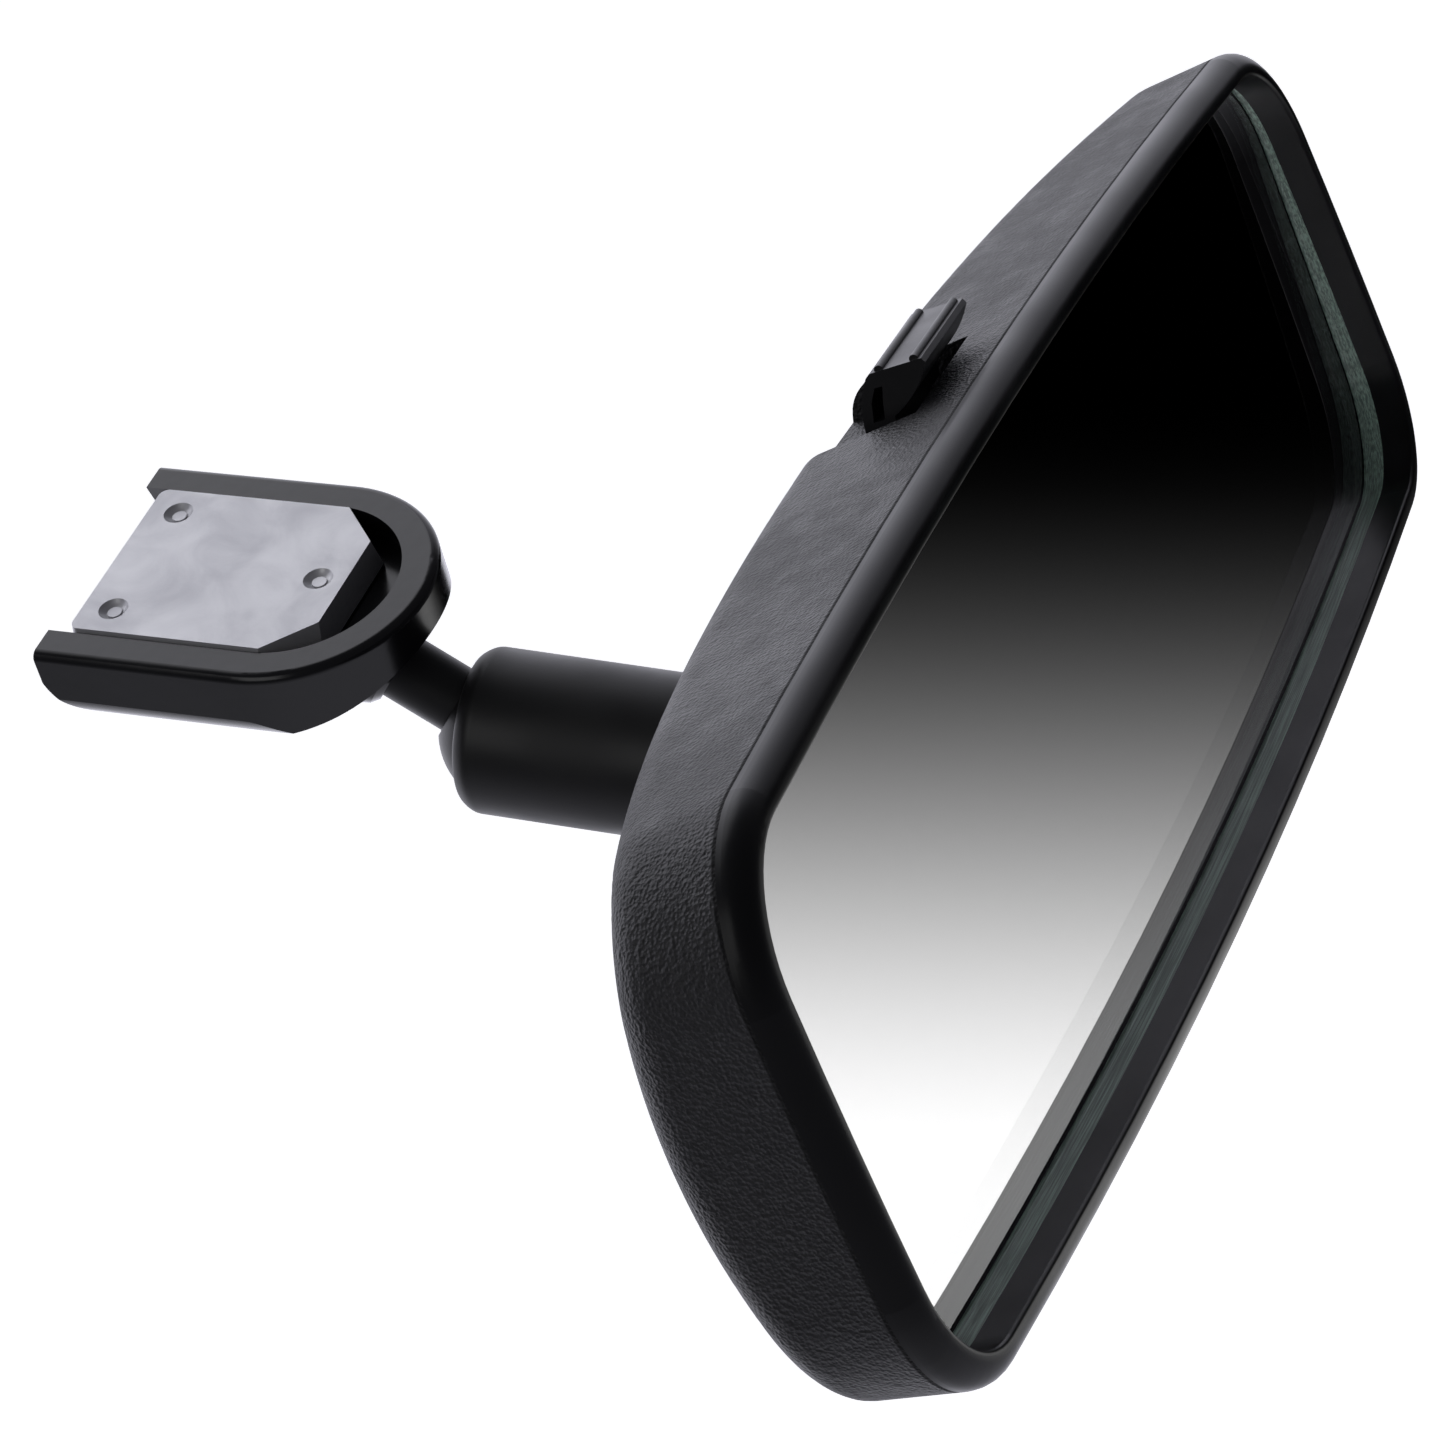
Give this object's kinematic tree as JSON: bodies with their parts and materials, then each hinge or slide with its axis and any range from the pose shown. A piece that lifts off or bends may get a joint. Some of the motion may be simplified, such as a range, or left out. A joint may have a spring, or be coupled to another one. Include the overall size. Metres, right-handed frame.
{
  "type": "interior rearview mirror",
  "caption": "Interior rearview mirror: prismatic glass in a shallow housing with a day and night lever, on a double ball arm with a shoe that slides onto a windshield button.",
  "frame": {"origin": "centre of the windshield button's bonding face", "axes": "+X along the mirror head, +Y from the driver towards the windshield, +Z from the plain edge to the lever edge of the head"},
  "size_m": [0.245, 0.1265, 0.0855],
  "materials": {
    "button_metal": "fine sintered or cast metal, satin",
    "mount_black": "satin black over a cast shoe",
    "spring_steel": "satin",
    "black_steel": "satin black coated steel",
    "seat_black": "smooth moulded plastic",
    "zinc_steel": "zinc plated, satin",
    "housing_black": "fine leather grain",
    "bezel_black": "smooth satin",
    "clear_glass": "polished, very slightly green",
    "silver": "mirror coating",
    "foam": "closed cell foam",
    "carrier_black": "plain moulded",
    "lever_black": "smooth semi-gloss"
  },
  "bodies": {
    "button": {"windshield_button": "button_metal"},
    "shoe": {"mount_shoe": "mount_black", "retention_spring": "spring_steel", "mount_ball_stud": "black_steel"},
    "mount_seat": {"mount_ball_seat": "seat_black"},
    "arm": {"arm_tube": "black_steel", "mount_side_cup": "seat_black", "head_side_cup": "seat_black", "arm_spring": "spring_steel"},
    "head_seat": {"head_ball_seat": "seat_black"},
    "bracket": {"head_ball_stud": "black_steel", "head_stud_nut": "zinc_steel", "toggle_bracket": "zinc_steel"},
    "head": {"rear_housing": "housing_black", "front_bezel": "bezel_black", "mirror_glass": "clear_glass", "silver_coating": "silver", "backing_pad": "foam", "carrier_plate": "carrier_black", "carrier_screw_1": "zinc_steel", "carrier_screw_2": "zinc_steel", "carrier_screw_3": "zinc_steel", "carrier_screw_4": "zinc_steel", "bracket_pivot_pin": "zinc_steel", "lever_pivot_pin": "zinc_steel"},
    "lever": {"toggle_lever": "lever_black", "crank_pin": "zinc_steel"}
  },
  "joints": [
    {"name": "shoe_slide", "type": "slide", "parent": "button", "child": "shoe", "axis": [-0.1384, -0.9383, -0.317], "range_m": [0, 0.035]},
    {"name": "mount_ball_turn", "type": "hinge", "parent": "shoe", "child": "mount_seat", "pos_m": [0.0021, -0.0238, -0.0303], "axis": [-0.0605, 0.6009, 0.797], "range_deg": [-25, 25]},
    {"name": "mount_ball_tilt", "type": "hinge", "parent": "mount_seat", "child": "arm", "pos_m": [0.0021, -0.0238, -0.0303], "axis": [-0.9919, 0.0534, -0.1155], "range_deg": [-45, 0]},
    {"name": "head_ball_tilt", "type": "hinge", "parent": "arm", "child": "head_seat", "pos_m": [0.0021, -0.0755, -0.0542], "axis": [1, 0, 0], "range_deg": [-3, 45]},
    {"name": "head_ball_turn", "type": "hinge", "parent": "head_seat", "child": "bracket", "pos_m": [0.0021, -0.0755, -0.0542], "axis": [0, 1, 0], "continuous": true},
    {"name": "day_night_tilt", "type": "hinge", "parent": "bracket", "child": "head", "pos_m": [0.0021, -0.0881, -0.0642], "axis": [-1, 0, 0], "range_deg": [0, 4]},
    {"name": "lever_flip", "type": "hinge", "parent": "head", "child": "lever", "pos_m": [0.0021, -0.0875, -0.0127], "axis": [-1, 0, 0], "range_deg": [-3, 46]}
  ],
  "couplings": [
    {"joint": "lever_flip", "follows": "day_night_tilt", "ratio": 9}
  ]
}
